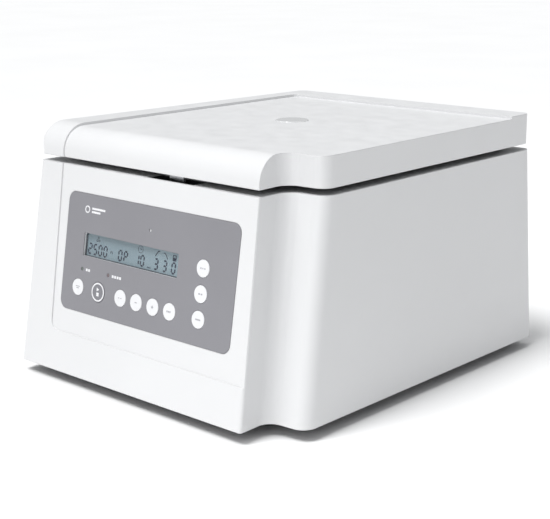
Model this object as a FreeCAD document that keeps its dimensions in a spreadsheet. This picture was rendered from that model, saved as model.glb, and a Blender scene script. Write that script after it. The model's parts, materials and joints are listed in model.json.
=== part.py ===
"""Bench-top clinical centrifuge, as a parametric assembly of separate sub-parts.

Millimetres, +Z up, front towards -Y. The origin is on the bench under the middle of the casing.
Three local frames keep the sub-parts simple:
  FRONT  on the leaning front face: x to the right, y up the slope, z out of the face
  REAR   on the drafted rear wall: x to the right as seen from behind, y up, z out of the wall
  ROTOR  on the spin axis: z up from the bench
"""

import FreeCAD
import Part
import Sketcher
import math
import os

from FreeCAD import Vector

DOC = FreeCAD.newDocument("Centrifuge")

# ---------------------------------------------------------------- driving dimensions

SIZES = {
    # casing
    "body_width": 308.6,
    "rear_width": 290.6,
    "body_depth": 366.0,
    "body_rise": 176.2,
    "foot_rise": 10.0,
    "front_slant": 9.43,
    "side_draft": 6.5,
    "left_draft": 3.8,
    "wall": 3.2,
    "roof": 3.0,
    "block_right": 119.9,
    "block_draft": 6.8,
    "cove_taper": 2.2,
    "cove_depth": 33.0,
    "cove_run": 2.5,
    "cove_radius": 12.0,
    "shoulder_radius": 12.0,
    "rear_radius": 9.0,
    "front_radius": 5.0,
    "block_radius": 2.5,
    "field_step": 1.0,
    "band_left": 118.0,
    "band_bottom": 35.0,
    "band_radius": 8.0,
    # lid
    "lid_gap": 5.3,
    "lid_rise": 27.1,
    "lid_inset": 1.2,
    "lid_wall": 2.6,
    "lid_roll": 24.0,
    "lid_step": 2.2,
    "lid_front_step": 1.1,
    "strip_left": 119.6,
    "strip_rear": 31.0,
    "strip_radius": 5.0,
    "port_radius": 14.5,
    # control panel
    "panel_left": 107.2,
    "panel_right": 98.6,
    "panel_low": 56.0,
    "panel_high": 157.0,
    "panel_radius": 8.0,
    "panel_thick": 0.7,
    "panel_seat": 0.5,
    "lcd_left": 83.0,
    "lcd_right": 33.6,
    "lcd_low": 104.3,
    "lcd_high": 124.0,
    "lcd_radius": 1.2,
    "key_radius": 7.0,
    "ring_key_radius": 8.4,
    "key_clear": 0.3,
    "key_stroke": 0.5,
    "key_row": 76.8,
    "key_column": 62.0,
    "key_column_pitch": 20.2,
    "board_back": 12.0,
    "lamp_radius": 1.6,
    "lamp_row": 93.0,
    # chamber and rotor
    "rotor_x": -4.0,
    "rotor_y": 12.0,
    "bowl_radius": 112.0,
    "bowl_wall": 1.5,
    "bowl_floor": 64.0,
    "bowl_round": 16.0,
    "bowl_flange": 8.0,
    "gasket_rise": 2.8,
    "shaft_radius": 6.0,
    "shaft_fit": 0.05,
    "nut_radius": 12.0,
    "rotor_radius": 104.0,
    "rotor_floor": 76.0,
    "pocket_count": 8,
    "pocket_tilt": 35.0,
    "pocket_pitch_radius": 54.0,
    "pocket_mouth": 140.0,
    "pocket_radius": 9.0,
    "pocket_depth": 62.0,
    "tube_radius": 8.2,
    "motor_radius": 46.0,
    "motor_plate_level": 58.0,
    # latch and hinges
    "latch_x": 12.0,
    "latch_width": 54.0,
    "latch_depth": 17.0,
    "latch_setback": 3.8,
    "hinge_x": 88.0,
    "hinge_y": 179.6,
    "hinge_level": 189.7,
    "knuckle_radius": 3.2,
    "pin_radius": 1.5,
    "hinge_spread": 11.0,
    # rear services
    "panel_x": 62.0,
    "service_low": 20.0,
    "service_rise": 50.0,
    "service_width": 106.0,
    "plate_thick": 1.5,
    "base_thick": 2.0,
    "foot_radius": 11.0,
    "foot_x": 100.0,
    "foot_y": 130.0,
}

# Worked out from the driving dimensions by the sheet itself.
DERIVED = {
    "lean": "=tan(front_slant) * body_rise",
    "deck": "=foot_rise + body_rise",
    "lid_low": "=foot_rise + body_rise + lid_gap",
    "lid_top": "=foot_rise + body_rise + lid_gap + lid_rise",
    "front_y": "=-body_depth / 2",
    "front_top_y": "=-body_depth / 2 + tan(front_slant) * body_rise",
    "rear_slant": "=atan(side_draft / body_rise) / 1 deg",
    "latch_y": "=front_top_y + latch_setback + latch_depth / 2",
    "lid_front_y": "=front_top_y + lid_inset",
    "lid_rear_y": "=body_depth / 2 - side_draft - lid_inset",
    "chamber_radius": "=bowl_radius + bowl_wall + 1.5",
    "liner_level": "=lid_low + 2",
}


def make_sheet():
    sheet = DOC.addObject("Spreadsheet::Sheet", "Dims")
    rows = list(SIZES.items()) + list(DERIVED.items())
    for row, (alias, value) in enumerate(rows, start=1):
        sheet.set(f"A{row}", alias)
        sheet.set(f"B{row}", str(value))
        sheet.setAlias(f"B{row}", alias)
    DOC.recompute()
    return sheet


DIMS = make_sheet()
NODES = {}

# ---------------------------------------------------------------- expressions and frames


def ex(text):
    """Spell a formula in sheet aliases as an expression: every alias gets the sheet's name."""
    words = []
    word = ""
    for char in text + " ":
        if char.isalnum() or char == "_":
            word += char
            continue
        known = word in SIZES or word in DERIVED
        words.append(f"Dims.{word}" if known else word)
        words.append(char)
        word = ""
    return "".join(words).strip()


def value(text):
    return float(DIMS.evalExpression(ex(text)))


def frame(x="0", y="0", z="0", turn="rotation(vector(0;0;1);0)"):
    return f"placement(vector({x};{y};{z});{turn})"


FRONT = frame(y="front_y", z="foot_rise", turn="rotation(vector(1;0;0);90 - front_slant)")
REAR = frame(
    y="body_depth / 2",
    z="foot_rise",
    turn="rotation(vector(0;0;1);180) * rotation(vector(1;0;0);90 - rear_slant)",
)
ROTOR = frame(x="rotor_x", y="rotor_y")
SIDE_VIEW = "rotation(vector(1;1;1);120)"
SECTION_VIEW = "rotation(vector(1;0;0);90)"


def place(item, where):
    item.setExpression("Placement", ex(where))


def node(name, item, where=None):
    """Name a finished sub-part, and set it in its local frame."""
    item.Label = name
    if where:
        place(item, where)
    NODES[name] = item
    return item


# ---------------------------------------------------------------- solids


def solid(kind, name, sizes, at=("0", "0", "0"), turn=None):
    item = DOC.addObject(kind, name)
    for field, text in sizes.items():
        item.setExpression(field, ex(text))
    place(item, frame(*at, turn) if turn else frame(*at))
    return item


def box(name, size, at):
    """A block given by its size and the middle of its lowest face."""
    low = (f"{at[0]} - ({size[0]}) / 2", f"{at[1]} - ({size[1]}) / 2", at[2])
    sizes = dict(zip(("Length", "Width", "Height"), size))
    return solid("Part::Box", name, sizes, low)


def rod(name, radius, height, at, turn=None):
    return solid("Part::Cylinder", name, {"Radius": radius, "Height": height}, at, turn)


def fuse(name, parts):
    item = DOC.addObject("Part::MultiFuse", name)
    item.Shapes = parts
    return item


def cut(name, base, tools):
    tool = tools[0] if len(tools) == 1 else fuse(name + "_tools", tools)
    item = DOC.addObject("Part::Cut", name)
    item.Base = base
    item.Tool = tool
    return item


def common(name, first, second):
    item = DOC.addObject("Part::Common", name)
    item.Base = first
    item.Tool = second
    return item


def ring(name, outer, inner, height, at):
    """A plain tube, standing on `at`."""
    through = (at[0], at[1], f"{at[2]} - 1")
    return cut(
        name,
        rod(name + "_outer", outer, height, at),
        [rod(name + "_bore", inner, f"{height} + 2", through)],
    )


# ---------------------------------------------------------------- sketches


def bind(sketch, constraint, text):
    index = sketch.addConstraint(constraint)
    sketch.setExpression(f"Constraints[{index}]", ex(text))


def pin_point(sketch, part, end, x, y, point):
    bind(sketch, Sketcher.Constraint("DistanceX", -1, 1, part, end, point.x), x)
    bind(sketch, Sketcher.Constraint("DistanceY", -1, 1, part, end, point.y), y)


def outline(sketch, corners):
    """Draw a closed outline of straight runs. Each corner is (x, y, radius or None), as formulas."""
    points = [Vector(value(x), value(y), 0) for x, y, _ in corners]
    lines = []
    for start, end in zip(points, points[1:] + points[:1]):
        lines.append(sketch.addGeometry(Part.LineSegment(start, end)))
    for i, (x, y, _) in enumerate(corners):
        sketch.addConstraint(Sketcher.Constraint("Coincident", lines[i - 1], 2, lines[i], 1))
        pin_point(sketch, lines[i], 1, x, y, points[i])


def corner_arc(before, corner, after, radius):
    """The tangent arc that rounds a corner, drawn counter-clockwise, and whether the outline follows it."""
    to_before = (before - corner).normalize()
    to_after = (after - corner).normalize()
    half = to_before.getAngle(to_after) / 2
    reach = radius / math.tan(half)
    middle = corner + (to_before + to_after).normalize() * (radius / math.sin(half) - radius)
    ends = [corner + to_before * reach, corner + to_after * reach]
    follows = (corner - before).cross(after - corner).z > 0
    first, last = ends if follows else reversed(ends)
    return ends, Part.Arc(first, middle, last), follows


def arced_outline(sketch, corners):
    """Draw a closed outline whose rounded corners are arcs tangent to the runs on both sides."""
    points = [Vector(value(x), value(y), 0) for x, y, _ in corners]
    count = len(corners)
    arcs = {}
    for i, (_, _, radius) in enumerate(corners):
        if radius:
            arcs[i] = corner_arc(points[i - 1], points[i], points[(i + 1) % count], value(radius))
    lines = []
    for i in range(count):
        after = (i + 1) % count
        start = arcs[i][0][1] if i in arcs else points[i]
        end = arcs[after][0][0] if after in arcs else points[after]
        lines.append(sketch.addGeometry(Part.LineSegment(start, end)))
    for i, (x, y, radius) in enumerate(corners):
        if i not in arcs:
            sketch.addConstraint(Sketcher.Constraint("Coincident", lines[i - 1], 2, lines[i], 1))
            pin_point(sketch, lines[i], 1, x, y, points[i])
            continue
        _, curve, follows = arcs[i]
        arc = sketch.addGeometry(curve)
        first, last = (1, 2) if follows else (2, 1)
        sketch.addConstraint(Sketcher.Constraint("Tangent", lines[i - 1], 2, arc, first))
        sketch.addConstraint(Sketcher.Constraint("Tangent", arc, last, lines[i], 1))
        bind(sketch, Sketcher.Constraint("Radius", arc, value(radius)), radius)
        corner = sketch.addGeometry(Part.Point(points[i]), True)
        sketch.addConstraint(Sketcher.Constraint("PointOnObject", corner, 1, lines[i - 1]))
        sketch.addConstraint(Sketcher.Constraint("PointOnObject", corner, 1, lines[i]))
        pin_point(sketch, corner, 1, x, y, points[i])


def circle(sketch, x, y, radius):
    centre = Vector(value(x), value(y), 0)
    index = sketch.addGeometry(Part.Circle(centre, Vector(0, 0, 1), value(radius)))
    bind(sketch, Sketcher.Constraint("Radius", index, value(radius)), radius)
    pin_point(sketch, index, 3, x, y, centre)


def rectangle(x_low, y_low, x_high, y_high, radius=None):
    return [
        (x_low, y_low, radius),
        (x_high, y_low, radius),
        (x_high, y_high, radius),
        (x_low, y_high, radius),
    ]


def body(name):
    return DOC.addObject("PartDesign::Body", name)


def sketch_on(owner, name, where, outlines=(), circles=(), draw=outline):
    """A sketch on the body's own XY plane, offset to `where`."""
    plane = [item for item in owner.Origin.OriginFeatures if item.Role == "XY_Plane"][0]
    sketch = owner.newObject("Sketcher::SketchObject", name)
    sketch.AttachmentSupport = (plane, [""])
    sketch.MapMode = "FlatFace"
    sketch.setExpression("AttachmentOffset", ex(where))
    for corners in outlines:
        draw(sketch, corners)
    for x, y, radius in circles:
        circle(sketch, x, y, radius)
    return sketch


# ---------------------------------------------------------------- rounded edges

NEAR = 0.02


def round_edges(owner, rounds):
    """Fillet the body's edges. `rounds` maps a radius formula to a test that picks its edges."""
    for radius, picks in rounds.items():
        DOC.recompute()
        base = owner.Tip
        names = [f"Edge{i}" for i, edge in enumerate(base.Shape.Edges, start=1) if picks(edge)]
        item = owner.newObject("PartDesign::Fillet", f"{owner.Name}_round_{len(owner.Group)}")
        item.Base = (base, names)
        item.setExpression("Radius", ex(radius))


def by_radius(corners):
    """Sort an outline's rounded corners by their radius formula."""
    found = {}
    for x, y, radius in corners:
        if radius:
            found.setdefault(radius, []).append(Vector(value(x), value(y), 0))
    return found


def upright_at(spots, where):
    """Picks the straight edges that stand on one of the spots, square to the sketch's plane."""
    to_local = DIMS.evalExpression(ex(where)).inverse()

    def picks(edge):
        ends = [to_local.multVec(vertex.Point) for vertex in edge.Vertexes]
        flat = [Vector(end.x, end.y, 0) for end in ends]
        close = [all(end.distanceToPoint(spot) < NEAR for end in flat) for spot in spots]
        return len(ends) == 2 and any(close)

    return picks


def round_outline(owner, where, corners):
    round_edges(owner, {r: upright_at(spots, where) for r, spots in by_radius(corners).items()})


def circle_at(spots):
    """Picks the turned edges at one of the (radius, height) spots."""

    def picks(edge):
        if not isinstance(edge.Curve, Part.Circle):
            return False
        here = Vector(edge.Curve.Radius, edge.Curve.Center.z, 0)
        return any(here.distanceToPoint(spot) < NEAR for spot in spots)

    return picks


def pad(owner, name, sketch, length):
    item = owner.newObject("PartDesign::Pad", name)
    item.Profile = sketch
    item.setExpression("Length", ex(length))
    return item


def pocket(owner, name, sketch, length, upward=False):
    """Cut against the sketch's normal, or along it when `upward`."""
    item = owner.newObject("PartDesign::Pocket", name)
    item.Profile = sketch
    item.Reversed = upward
    item.setExpression("Length", ex(length))
    return item


def loft(owner, name, low, high):
    item = owner.newObject("PartDesign::AdditiveLoft", name)
    item.Profile = low
    item.Sections = [high]
    item.Ruled = True
    return item


def revolve(name, corners):
    """A turned sub-part from its (radius, height) half section."""
    owner = body(name)
    sketch = sketch_on(owner, name + "_section", frame(turn=SECTION_VIEW), [corners])
    item = owner.newObject("PartDesign::Revolution", name + "_turn")
    item.Profile = sketch
    item.ReferenceAxis = (sketch, ["V_Axis"])
    item.Angle = 360
    round_edges(owner, {r: circle_at(spots) for r, spots in by_radius(corners).items()})
    return owner


def prism(name, where, length, corners, circles=()):
    """A plate-like sub-part: one padded outline with round holes."""
    owner = body(name)
    sketch = sketch_on(owner, name + "_outline", where, [corners], circles)
    pad(owner, name + "_pad", sketch, length)
    round_outline(owner, where, corners)
    return owner


# ---------------------------------------------------------------- casing


def plan(share, inset):
    """The casing's plan at a share of its height (0 bench side, 1 deck), drawn in by `inset`."""
    front = f"front_y + ({share}) * lean"
    left = f"-body_width / 2 + ({share}) * left_draft + ({inset})"
    block_x = f"block_right - ({share}) * block_draft - ({inset})"
    cove_y = f"{front} + cove_depth + ({inset})"
    side = f"(({share}) * side_draft + ({inset}))"
    rear = f"body_depth / 2 - {side}"
    rear_radius = f"rear_radius - ({inset})"
    return [
        (left, f"{front} + ({inset})", f"front_radius - ({inset})"),
        (block_x, f"{front} + ({inset})", "block_radius" if inset == "0" else None),
        (f"{block_x} - cove_taper", cove_y, f"cove_radius + ({inset})"),
        (f"body_width / 2 - {side}", f"{cove_y} + cove_run", f"shoulder_radius - ({inset})"),
        (f"rear_width / 2 - {side}", rear, rear_radius),
        (f"-rear_width / 2 + {side}", rear, rear_radius),
    ]


def plan_loft(name, inset, low, high):
    """Loft the plan between two (share, level) pairs."""
    owner = body(name)
    sketches = []
    for index, (share, level) in enumerate((low, high)):
        corners = [plan(share, inset)]
        sketches.append(sketch_on(owner, f"{name}_{index}", frame(z=level), corners, draw=arced_outline))
    loft(owner, name + "_loft", *sketches)
    return owner


def key_places():
    """Every key as (name, x, y, radius) on the front face."""
    row = [("key_mode", "-85.6"), ("key_start_stop", "-59.1")]
    row += [("key_unit", "-30.7"), ("key_down", "-11.0"), ("key_up", "9.0"), ("key_set", "28.9")]
    places = []
    for name, x in row:
        radius = "ring_key_radius" if name == "key_start_stop" else "key_radius"
        places.append((name, x, "key_row", radius))
    for step, name in enumerate(("key_short", "key_open", "key_pulse")):
        places.append((name, "key_column", f"key_row + {step} * key_column_pitch", "key_radius"))
    return places


LAMPS = {"lamp_run": "-82.2", "lamp_stop": "-48.4"}
DIMPLE = ("-2.2", "137.6")
HINGE_SIDES = {"left": "-hinge_x", "right": "hinge_x"}
FEET = {
    "front_left": ("-foot_x", "-foot_y"),
    "front_right": ("foot_x", "-foot_y"),
    "rear_left": ("-foot_x", "foot_y"),
    "rear_right": ("foot_x", "foot_y"),
}


def front_cuts(casing):
    """The stepped-back field on the front face, the panel's seat and its openings."""
    edge = "block_right + 12"
    field_corners = [
        ("-band_left + 2", "band_bottom", "band_radius"),
        (edge, "band_bottom", None),
        (edge, "body_rise + 12", None),
        ("-band_left - 1.6", "body_rise + 12", None),
    ]
    field = sketch_on(casing, "front_field", FRONT, [field_corners])
    pocket(casing, "front_field_cut", field, "field_step")
    round_outline(casing, FRONT, field_corners)
    gap = "0.25"
    low = (f"-panel_left - {gap}", f"panel_low - {gap}")
    high = (f"panel_right + {gap}", f"panel_high + {gap}")
    seat_corners = rectangle(*low, *high, "panel_radius")
    seat = sketch_on(casing, "panel_seat_edge", FRONT, [seat_corners])
    pocket(casing, "panel_seat_cut", seat, "field_step + panel_seat")
    round_outline(casing, FRONT, seat_corners)
    holes = [(x, y, f"{radius} + key_clear") for _, x, y, radius in key_places()]
    holes += [(x, "lamp_row", "lamp_radius") for x in LAMPS.values()]
    window = sketch_on(casing, "panel_holes", FRONT, [lcd_edge("0")], holes)
    pocket(casing, "panel_holes_cut", window, "field_step + wall + 4")


def lcd_edge(gap):
    low = (f"-lcd_left + {gap}", f"lcd_low + {gap}")
    high = (f"lcd_right - {gap}", f"lcd_high - {gap}")
    return rectangle(*low, *high, "lcd_radius")


def deck_cuts(casing):
    """The chamber mouth and the latch slot in the roof."""
    low = "front_top_y + latch_setback"
    half = "latch_width / 2"
    slot = rectangle(f"latch_x - {half}", low, f"latch_x + {half}", f"{low} + latch_depth")
    mouth = ("rotor_x", "rotor_y", "chamber_radius")
    sketch = sketch_on(casing, "deck_holes", frame(z="deck + 2"), [slot], [mouth])
    pocket(casing, "deck_holes_cut", sketch, "roof + 4")


def hinge_screws(side):
    spreads = ("-hinge_spread", "hinge_spread")
    return [(f"{HINGE_SIDES[side]} + {spread}", "body_rise - 11") for spread in spreads]


def rear_cuts(casing):
    """The service opening, its screw holes and the hinge screw holes in the rear wall."""
    half = "service_width / 2 - 6"
    opening = rectangle(
        f"panel_x - ({half})",
        "service_low + 4",
        f"panel_x + ({half})",
        "service_low + service_rise - 4",
        "3",
    )
    places = service_screws() + hinge_screws("left") + hinge_screws("right")
    holes = [(x, y, "1.6") for x, y in places]
    sketch = sketch_on(casing, "rear_holes", REAR, [opening], holes)
    pocket(casing, "rear_holes_cut", sketch, "wall + 6")
    slot = sketch_on(casing, "vent_slot", REAR, [rectangle("-112", "46", "-109", "92", "1.4")])
    first = pocket(casing, "vent_slot_cut", slot, "wall + 6")
    row_of(casing, "vent_slots", first, (slot, ["H_Axis"]), 88, 12)


def row_of(owner, name, feature, direction, length, count):
    pattern = owner.newObject("PartDesign::LinearPattern", name)
    pattern.Originals = [feature]
    pattern.Direction = direction
    pattern.Length = length
    pattern.Occurrences = count
    owner.Tip = pattern


def outer_casing():
    top_share = "(body_rise - roof) / body_rise"
    hollow = plan_loft("casing_hollow", "wall", ("0", "foot_rise"), (top_share, "deck - roof"))
    casing = plan_loft("outer_casing", "0", ("0", "foot_rise"), ("1", "deck"))
    hollowed = casing.newObject("PartDesign::Boolean", "casing_hollowed")
    hollowed.Type = "Cut"
    hollowed.addObjects([hollow])
    front_cuts(casing)
    deck_cuts(casing)
    rear_cuts(casing)
    node("outer_casing", casing)


def base_plate():
    """A steel pan that closes the casing from below, with air slots under the motor."""
    inset = "wall + 0.5"
    owner = body("base_plate")
    holes = [(x, y, "2.2") for x, y in FEET.values()]
    sketch = sketch_on(owner, "base_plan", frame(z="foot_rise + 0.5"), [plan("0", inset)], holes)
    pad(owner, "base_pad", sketch, "base_thick")
    round_outline(owner, frame(z="foot_rise + 0.5"), plan("0", inset))
    corners = rectangle("rotor_x - 30", "rotor_y + 64", "rotor_x + 30", "rotor_y + 68", "1.9")
    slot = sketch_on(owner, "air_slot", frame(z="foot_rise + 4"), [corners])
    first = pocket(owner, "air_slot_cut", slot, "6")
    row_of(owner, "air_slots", first, (slot, ["V_Axis"]), 50, 6)
    node("base_plate", owner)


def feet():
    for name, (x, y) in FEET.items():
        foot = revolve(
            f"foot_{name}",
            [
                ("5.2", "0", None),
                ("foot_radius - 1.5", "0", "0.8"),
                ("foot_radius", "foot_rise + 0.5", None),
                ("2.1", "foot_rise + 0.5", None),
                ("2.1", "4.5", None),
                ("5.2", "4.5", None),
            ],
        )
        node(f"foot_{name}", foot, frame(x, y))
    screws = []
    for name, (x, y) in FEET.items():
        head = rod(f"foot_screw_head_{name}", "4", "2.4", (x, y, "2.1"))
        shank = rod(f"foot_screw_shank_{name}", "2", "foot_rise + base_thick + 1.5 - 4", (x, y, "4"))
        nut = rod(f"foot_screw_nut_{name}", "3.8", "2.8", (x, y, "foot_rise + 0.5 + base_thick"))
        screws += [head, shank, nut]
    node("foot_screws", fuse("foot_screws", screws))


# ---------------------------------------------------------------- control panel


def control_membrane():
    holes = [(x, y, f"{radius} + key_clear") for _, x, y, radius in key_places()]
    holes += [(x, "lamp_row", "lamp_radius + 0.1") for x in LAMPS.values()]
    holes.append((*DIMPLE, "1.3"))
    panel = body("control_membrane")
    edge = rectangle("-panel_left", "panel_low", "panel_right", "panel_high", "panel_radius")
    level = frame(z="-field_step - panel_seat")
    sketch = sketch_on(panel, "membrane_edge", level, [edge, lcd_edge("0")], holes)
    pad(panel, "membrane_pad", sketch, "panel_thick")
    round_outline(panel, level, edge + lcd_edge("0"))
    node("control_membrane", panel, FRONT)


def lcd():
    """The clear window sits in the wall's opening, and the module hangs just behind the wall."""
    window = prism("lcd_window", frame(z="-field_step - panel_seat - 1.4"), "1.2", lcd_edge("0.1"))
    node("lcd_window", window, FRONT)
    back = "-wall - 6.4"
    width = "lcd_left + lcd_right"
    height = "lcd_high - lcd_low"
    middle_x = "(lcd_right - lcd_left) / 2"
    middle_y = "(lcd_low + lcd_high) / 2"
    frame_block = box("lcd_frame_block", (f"{width} + 9", f"{height} + 9", "5.6"), (middle_x, middle_y, back))
    mouth_size = (f"{width} - 1", f"{height} - 1", "4")
    mouth = box("lcd_frame_mouth", mouth_size, (middle_x, middle_y, "-wall - 2.4"))
    node("lcd_frame", cut("lcd_frame", frame_block, [mouth]), FRONT)
    size = (f"{width} - 1.4", f"{height} - 1.4", "1.1")
    glass = solid("Part::Box", "lcd_glass", dict(zip(("Length", "Width", "Height"), size)))
    seat = frame("-lcd_left + 0.7", "lcd_low + 0.7", "-wall - 2.4")
    node("lcd_glass", glass, f"{FRONT} * {seat}")


def keys():
    """Each key is a cap with a flange behind the wall and a stem down to its switch."""
    face = "panel_thick - panel_seat - field_step + 0.35"
    flange_back = "-wall - 1.4"
    stem_end = "-board_back + 3 + key_stroke + 0.1"
    for name, x, y, radius in key_places():
        cap = revolve(
            name,
            [
                ("0", stem_end, None),
                ("2.5", stem_end, None),
                ("2.5", flange_back, None),
                (f"{radius} + 1.1", flange_back, None),
                (f"{radius} + 1.1", f"{flange_back} + 1", None),
                (radius, f"{flange_back} + 1", None),
                (radius, face, "0.25"),
                ("0", face, None),
            ],
        )
        node(name, cap, f"{FRONT} * {frame(x, y)}")


def control_board():
    thick = "1.6"
    level = f"-board_back - {thick}"
    board = box("board_plate", ("190", "76", thick), ("-8", "96", level))
    corners = [(x, y) for x in ("-98", "82") for y in ("62", "130")]
    holes = [rod(f"board_hole_{i}", "1.6", "4", (x, y, f"{level} - 1")) for i, (x, y) in enumerate(corners)]
    node("control_board", cut("control_board", board, holes), FRONT)
    switches = []
    for name, x, y, _ in key_places():
        switches.append(box(f"{name}_switch", ("6", "6", "3"), (x, y, "-board_back")))
    node("key_switches", fuse("key_switches", switches), FRONT)
    height = "board_back - field_step - panel_seat + 0.5"
    for name, x in LAMPS.items():
        dome = solid("Part::Cylinder", name, {"Radius": "lamp_radius - 0.1", "Height": height})
        node(name, dome, f"{FRONT} * {frame(x, 'lamp_row', '-board_back')}")


# ---------------------------------------------------------------- chamber, motor and rotor


def chamber():
    outer = "bowl_radius + bowl_wall"
    rim = "bowl_radius + bowl_wall + bowl_flange"
    bowl = revolve(
        "chamber_bowl",
        [
            ("16", "bowl_floor", None),
            (outer, "bowl_floor", "bowl_round"),
            (outer, "deck", None),
            (rim, "deck", None),
            (rim, "deck + 1.2", None),
            ("bowl_radius", "deck + 1.2", None),
            ("bowl_radius", "bowl_floor + bowl_wall", "bowl_round - bowl_wall"),
            ("16", "bowl_floor + bowl_wall", None),
        ],
    )
    node("chamber_bowl", bowl, ROTOR)
    low = "deck + 1.2"
    gasket = revolve(
        "chamber_gasket",
        [
            ("bowl_radius + 1.5", low, None),
            (rim, low, None),
            (rim, f"{low} + 1", None),
            (f"{rim} - 2.6", f"{low} + gasket_rise", "0.6"),
            ("bowl_radius + 3.5", f"{low} + gasket_rise", "0.6"),
            ("bowl_radius + 1.5", f"{low} + 1", None),
        ],
    )
    node("chamber_gasket", gasket, ROTOR)


def motor():
    plate_edge = "74"
    corners = rectangle(f"-{plate_edge}", f"-{plate_edge}", plate_edge, plate_edge, "12")
    plate = body("motor_plate")
    corner_places = [(x, y) for x in ("-62", "62") for y in ("-62", "62")]
    holes = [(x, y, "2.6") for x, y in corner_places] + [("0", "0", "16")]
    sketch = sketch_on(plate, "motor_plate_edge", frame(z="motor_plate_level"), [corners], holes)
    pad(plate, "motor_plate_pad", sketch, "2")
    round_outline(plate, frame(z="motor_plate_level"), corners)
    node("motor_plate", plate, ROTOR)
    floor = "foot_rise + 0.5 + base_thick"
    dampers = []
    for index, (x, y) in enumerate(corner_places):
        dampers.append(rod(f"damper_{index}", "8", f"motor_plate_level - ({floor})", (x, y, floor)))
    node("damper_mounts", fuse("damper_mounts", dampers), ROTOR)
    bottom = "foot_rise + base_thick + 3"
    stator = revolve(
        "motor_stator",
        [
            ("15", bottom, None),
            ("motor_radius", bottom, "3"),
            ("motor_radius", "motor_plate_level", None),
            ("15", "motor_plate_level", None),
            ("15", "motor_plate_level - 7", None),
            ("31", "motor_plate_level - 7", None),
            ("31", f"{bottom} + 8", None),
            ("15", f"{bottom} + 8", None),
        ],
    )
    node("motor_stator", stator, ROTOR)
    rings = []
    for label, level in (("low", f"{bottom} + 0.5"), ("high", "motor_plate_level - 7")):
        rings.append(ring(f"bearing_{label}", "15", "shaft_radius + shaft_fit", "7", ("0", "0", level)))
    node("motor_bearings", fuse("motor_bearings", rings), ROTOR)
    shaft = revolve(
        "motor_shaft",
        [
            ("0", f"{bottom} + 0.2", None),
            ("shaft_radius", f"{bottom} + 0.2", None),
            ("shaft_radius", "134", None),
            ("4", "134", None),
            ("4", "151", None),
            ("0", "151", None),
        ],
    )
    node("motor_shaft", shaft, ROTOR)
    armature = ring("motor_armature", "29.5", "shaft_radius", "24", ("0", "0", f"{bottom} + 10"))
    node("motor_armature", armature, ROTOR)


POCKET_TURN = "rotation(vector(0;1;0);-pocket_tilt)"


def rotor():
    """An angle rotor: a solid cone with tilted pockets around a dished middle."""
    head = revolve(
        "angle_rotor",
        [
            ("shaft_radius", "rotor_floor + 6", None),
            ("16", "rotor_floor + 6", None),
            ("20", "rotor_floor", None),
            ("rotor_radius - 22", "rotor_floor", "4"),
            ("rotor_radius", "rotor_floor + 16", "5"),
            ("rotor_radius", "rotor_floor + 36", "5"),
            ("70", "149", "3"),
            ("66", "148.4", None),
            ("45", "133.7", "2"),
            ("30", "122", "4"),
            ("13", "122", "2"),
            ("13", "134", None),
            ("shaft_radius", "134", None),
        ],
    )
    seat = f"placement(vector(pocket_pitch_radius;0;pocket_mouth);{POCKET_TURN})"
    features = []
    for name, length, upward in (("pocket", "pocket_depth", False), ("pocket_lead", "8", True)):
        mouth = sketch_on(head, f"{name}_circle", seat, [], [("0", "0", "pocket_radius")])
        features.append(pocket(head, f"{name}_cut", mouth, length, upward))
    pattern = head.newObject("PartDesign::PolarPattern", "pockets")
    pattern.Originals = features
    axis = [item for item in head.Origin.OriginFeatures if item.Role == "Z_Axis"][0]
    pattern.Axis = (axis, [""])
    pattern.Angle = 360
    pattern.setExpression("Occurrences", ex("pocket_count"))
    head.Tip = pattern
    node("angle_rotor", head, ROTOR)


def tube_sleeves():
    """A thin cup in every pocket, with a lip that stands on the pocket's mouth."""
    count = int(SIZES["pocket_count"])
    cups = []
    seat = f"placement(vector(pocket_pitch_radius;0;pocket_mouth);{POCKET_TURN})"
    for index in range(count):
        wall = rod(f"sleeve_wall_{index}", "pocket_radius", "pocket_depth + 2.4", ("0", "0", "-pocket_depth"))
        bore = rod(f"sleeve_bore_{index}", "tube_radius", "pocket_depth + 8", ("0", "0", "2 - pocket_depth"))
        cup = cut(f"sleeve_{index}", wall, [bore])
        turn = f"rotation(vector(0;0;1);{index} * 360 / pocket_count)"
        place(cup, f"placement(vector(0;0;0);{turn}) * {seat}")
        cups.append(cup)
    node("tube_sleeves", fuse("tube_sleeves", cups), ROTOR)


def rotor_nut():
    nut = revolve(
        "rotor_nut_turned",
        [
            ("4.05", "134.2", None),
            ("nut_radius", "134.2", "1"),
            ("nut_radius", "147", "1.5"),
            ("8", "152", "1.5"),
            ("0", "152", None),
            ("0", "151.2", None),
            ("4.05", "151.2", None),
        ],
    )
    flutes = []
    for index in range(6):
        angle = f"{index} * 60"
        x = f"(nut_radius + 2.4) * cos({angle})"
        y = f"(nut_radius + 2.4) * sin({angle})"
        flutes.append(rod(f"nut_flute_{index}", "4", "30", (x, y, "130")))
    node("rotor_nut", cut("rotor_nut", nut, flutes), ROTOR)


# ---------------------------------------------------------------- power side


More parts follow.
